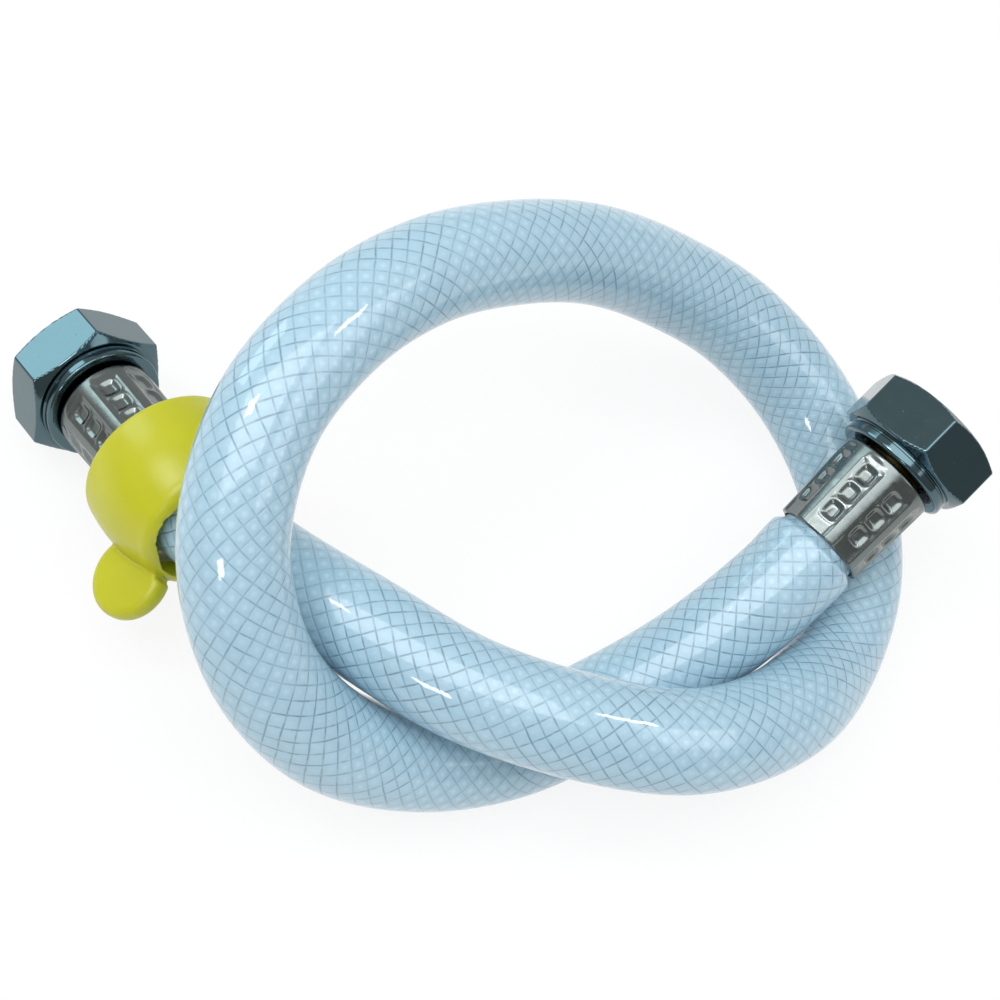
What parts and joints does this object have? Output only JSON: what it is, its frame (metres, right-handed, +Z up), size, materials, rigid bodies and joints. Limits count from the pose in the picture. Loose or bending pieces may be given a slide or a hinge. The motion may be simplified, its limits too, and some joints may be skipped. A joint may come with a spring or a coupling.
{
  "type": "flexible connector hose",
  "caption": "Short braided plastic water hose tied in an overhand knot, with a crimped ferrule and swivel nut on each end and a loose winged hand key",
  "frame": {"origin": "on the table, under the middle of the box round the end fittings and the key", "axes": "+Z up from the table, +X from end a with the key towards end b"},
  "size_m": [0.1694, 0.1172, 0.0727],
  "materials": {
    "hose": "clear glossy skin over a pale blue grey braid",
    "chrome": "polished plate",
    "steel": "polished pressed steel",
    "brass": "turned",
    "rubber": "matt",
    "yellow": "smooth moulded"
  },
  "bodies": {
    "hose_with_ends": {"hose": "hose", "stem_a": "brass", "washer_a": "rubber", "ferrule_a": "steel", "stem_b": "brass", "washer_b": "rubber", "ferrule_b": "steel"},
    "nut_a": {"swivel_nut_a": "chrome"},
    "nut_b": {"swivel_nut_b": "chrome"},
    "key": {"hand_key": "yellow"}
  },
  "joints": [
    {"name": "nut_a_turn", "type": "hinge", "parent": "hose_with_ends", "child": "nut_a", "pos_m": [-0.0663, -0.00155, 0.01675], "axis": [-0.7271, 0.6194, -0.2962], "continuous": true},
    {"name": "nut_b_turn", "type": "hinge", "parent": "hose_with_ends", "child": "nut_b", "pos_m": [0.0674, 0.0203, 0.0312], "axis": [0.4823, 0.8038, 0.3482], "continuous": true},
    {"name": "key_slide", "type": "slide", "parent": "hose_with_ends", "child": "key", "axis": [-0.7271, 0.6194, -0.2962], "range_m": [0, 0.016]}
  ]
}
